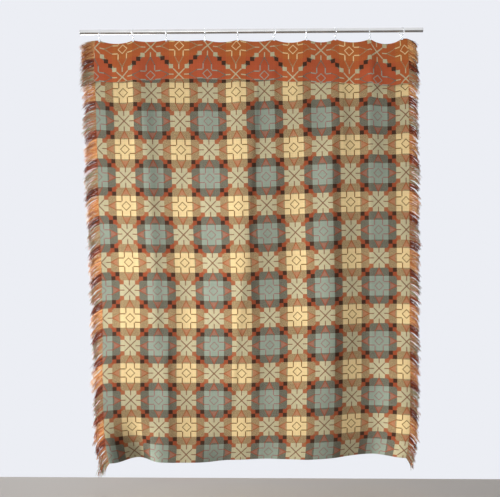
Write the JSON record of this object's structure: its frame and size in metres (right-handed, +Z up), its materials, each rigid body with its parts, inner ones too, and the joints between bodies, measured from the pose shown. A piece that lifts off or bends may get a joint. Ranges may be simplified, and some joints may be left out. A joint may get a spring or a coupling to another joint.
{
  "type": "woven welsh blanket on a hanging rod with clip rings",
  "caption": "Double-woven wool blanket with a geometric pattern and fringed sides, its top folded forward, hung by clip rings from a plain steel rod.",
  "frame": {"origin": "middle of the rod's axis, half way between the rod's two ends", "axes": "+X along the rod to the viewer's right, -Y towards the viewer, +Y towards the wall, +Z up"},
  "size_m": [1.8383, 0.1008, 2.3979],
  "materials": {
    "rod_steel": "satin",
    "ring_chrome": "polished",
    "wool_cloth": "woven wool",
    "wool_yarn": "loose wool yarn"
  },
  "bodies": {
    "root": {"rod": "rod_steel", "rod_plug_left": "rod_steel", "rod_plug_right": "rod_steel", "ring_01": "ring_chrome", "ring_02": "ring_chrome", "ring_03": "ring_chrome", "ring_04": "ring_chrome", "ring_05": "ring_chrome", "ring_06": "ring_chrome", "ring_07": "ring_chrome", "ring_08": "ring_chrome", "ring_09": "ring_chrome", "ring_10": "ring_chrome", "link_01": "ring_chrome", "link_02": "ring_chrome", "link_03": "ring_chrome", "link_04": "ring_chrome", "link_05": "ring_chrome", "link_06": "ring_chrome", "link_07": "ring_chrome", "link_08": "ring_chrome", "link_09": "ring_chrome", "link_10": "ring_chrome", "clip_01": "ring_chrome", "clip_02": "ring_chrome", "clip_03": "ring_chrome", "clip_04": "ring_chrome", "clip_05": "ring_chrome", "clip_06": "ring_chrome", "clip_07": "ring_chrome", "clip_08": "ring_chrome", "clip_09": "ring_chrome", "clip_10": "ring_chrome", "blanket": "wool_cloth", "fringe_left": "wool_yarn", "fringe_right": "wool_yarn"}
  },
  "joints": []
}
